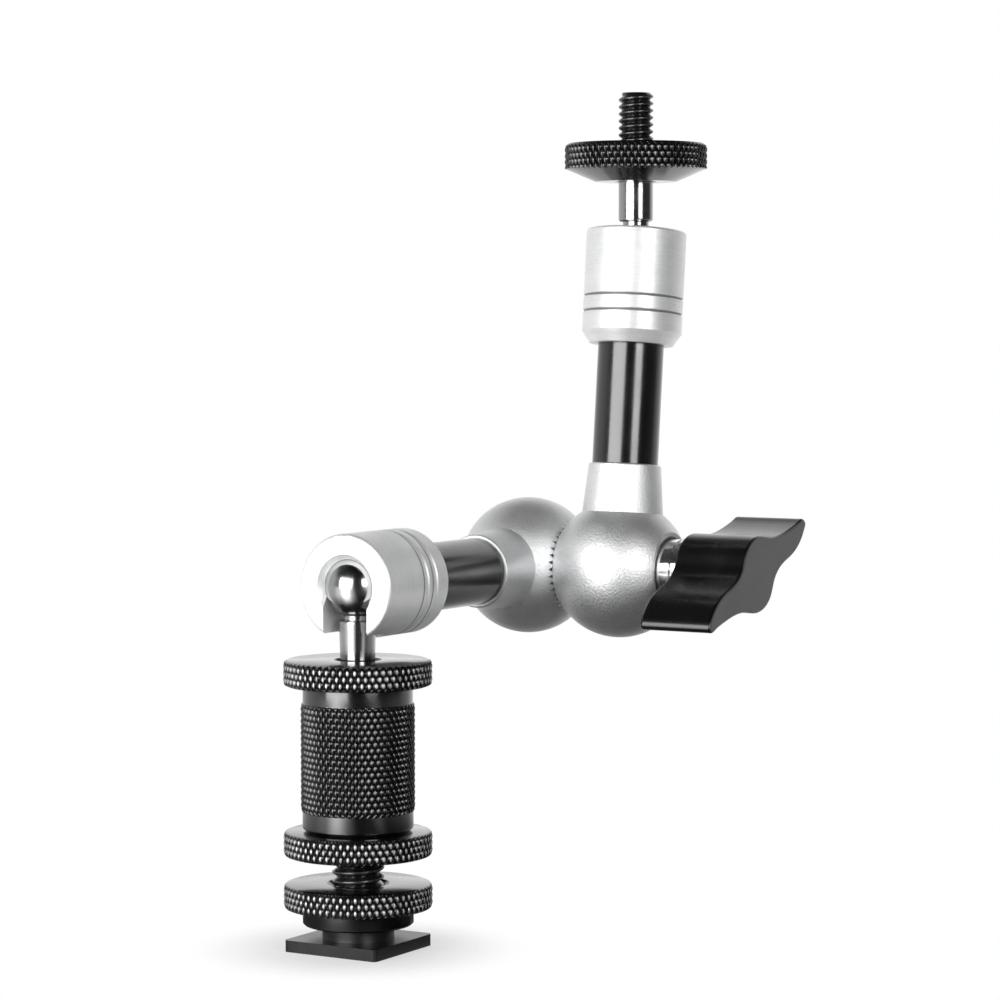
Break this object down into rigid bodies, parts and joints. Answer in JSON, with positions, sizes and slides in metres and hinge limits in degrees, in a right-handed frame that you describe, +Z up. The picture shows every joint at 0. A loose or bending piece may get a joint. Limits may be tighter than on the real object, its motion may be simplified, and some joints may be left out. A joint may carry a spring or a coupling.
{
  "type": "articulating friction arm",
  "caption": "Articulating friction arm: ball-ended arms meet at an elbow locked by a wing knob, with a shoe foot on a knurled column below and a camera screw with a lock disc above.",
  "frame": {"origin": "centre of the shoe foot's underside, on the column's axis", "axes": "+Z up along the column, +X along the lower arm towards the elbow, -Y along the wing knob's axis towards the knob"},
  "size_m": [0.0897, 0.0601, 0.1484],
  "materials": {
    "satin_silver": "bead blasted and turned, satin",
    "polished_collar": "polished",
    "polished_steel": "polished",
    "plain_steel": "plain machined",
    "bronze_cup": "plain machined",
    "gloss_black": "gloss black anodised",
    "black_knurled": "satin black anodised, knurled",
    "black_knob": "satin black anodised",
    "black_foot": "satin black anodised",
    "black_thread": "black oxide thread"
  },
  "bodies": {
    "foot": {"shoe_plate": "black_foot", "shoe_stud": "black_thread"},
    "clamp_nut": {"shoe_clamp_nut": "black_knurled"},
    "lock_nut": {"barrel_lock_nut": "black_knurled"},
    "barrel": {"adapter_barrel": "black_knurled"},
    "lower_stud": {"lower_ball_stud": "polished_steel"},
    "stud_disc": {"stud_lock_disc": "black_knurled"},
    "lower_arm": {"lower_socket": "satin_silver", "lower_socket_base": "satin_silver", "lower_tube": "gloss_black", "lower_elbow_half": "satin_silver"},
    "lower_rod": {"lower_ball_cup": "bronze_cup", "lower_push_rod": "plain_steel"},
    "bolt": {"clamp_bolt": "plain_steel", "lower_cone": "plain_steel", "elbow_spring": "plain_steel"},
    "upper_arm": {"upper_elbow_half": "satin_silver", "upper_tube": "gloss_black", "upper_socket_base": "satin_silver", "upper_socket": "satin_silver"},
    "upper_rod": {"upper_ball_cup": "bronze_cup", "upper_push_rod": "plain_steel"},
    "collar": {"thrust_collar": "polished_collar", "upper_cone": "plain_steel"},
    "knob": {"wing_knob": "black_knob", "knob_insert": "bronze_cup"},
    "upper_stud": {"upper_ball_stud": "polished_steel"},
    "top_disc": {"top_lock_disc": "black_knurled"}
  },
  "joints": [
    {"name": "clamp_nut_turn", "type": "hinge", "parent": "foot", "child": "clamp_nut", "pos_m": [0, 0, 0.0078], "axis": [0, 0, 1], "continuous": true},
    {"name": "lock_nut_turn", "type": "hinge", "parent": "foot", "child": "lock_nut", "pos_m": [0, 0, 0.0182], "axis": [0, 0, 1], "continuous": true},
    {"name": "barrel_turn", "type": "hinge", "parent": "foot", "child": "barrel", "pos_m": [0, 0, 0.0327], "axis": [0, 0, 1], "continuous": true},
    {"name": "lower_stud_pan", "type": "hinge", "parent": "barrel", "child": "lower_stud", "pos_m": [0, 0, 0.0451], "axis": [0, 0, 1], "continuous": true},
    {"name": "stud_disc_turn", "type": "hinge", "parent": "lower_stud", "child": "stud_disc", "pos_m": [0, 0, 0.0473], "axis": [0, 0, 1], "continuous": true},
    {"name": "lower_ball_tilt", "type": "hinge", "parent": "lower_stud", "child": "lower_arm", "pos_m": [0, 0, 0.062], "axis": [0, -1, 0], "range_deg": [-4, 110]},
    {"name": "elbow", "type": "hinge", "parent": "lower_arm", "child": "upper_arm", "pos_m": [0.0577, -0.0096, 0.062], "axis": [0, -1, 0], "range_deg": [-175, 68]},
    {"name": "upper_ball_tilt", "type": "hinge", "parent": "upper_arm", "child": "upper_stud", "pos_m": [0.06353, -0.0192, 0.1194], "axis": [0, 1, 0], "range_deg": [-14, 98]},
    {"name": "top_disc_turn", "type": "hinge", "parent": "upper_stud", "child": "top_disc", "pos_m": [0.06353, -0.0192, 0.1354], "axis": [0, 0, 1], "continuous": true},
    {"name": "collar_slide", "type": "slide", "parent": "upper_arm", "child": "collar", "axis": [0, -1, 0], "range_m": [0, 0.00051]},
    {"name": "knob_turn", "type": "hinge", "parent": "collar", "child": "knob", "pos_m": [0.0577, -0.0336, 0.062], "axis": [0, -1, 0], "range_deg": [0, 360]},
    {"name": "bolt_slide", "type": "slide", "parent": "lower_arm", "child": "bolt", "axis": [0, 1, 0], "range_m": [0, 0.00051]},
    {"name": "lower_rod_slide", "type": "slide", "parent": "lower_arm", "child": "lower_rod", "axis": [1, 0, 0], "range_m": [0, 0.00025]},
    {"name": "upper_rod_slide", "type": "slide", "parent": "upper_arm", "child": "upper_rod", "axis": [-0.1011, 0, -0.9949], "range_m": [0, 0.00025]}
  ],
  "couplings": [
    {"joint": "collar_slide", "follows": "knob_turn", "m_per_rad": 0.000079577},
    {"joint": "bolt_slide", "follows": "knob_turn", "m_per_rad": 0.000079577},
    {"joint": "lower_rod_slide", "follows": "knob_turn", "m_per_rad": 0.000038863},
    {"joint": "upper_rod_slide", "follows": "knob_turn", "m_per_rad": 0.000038863}
  ]
}
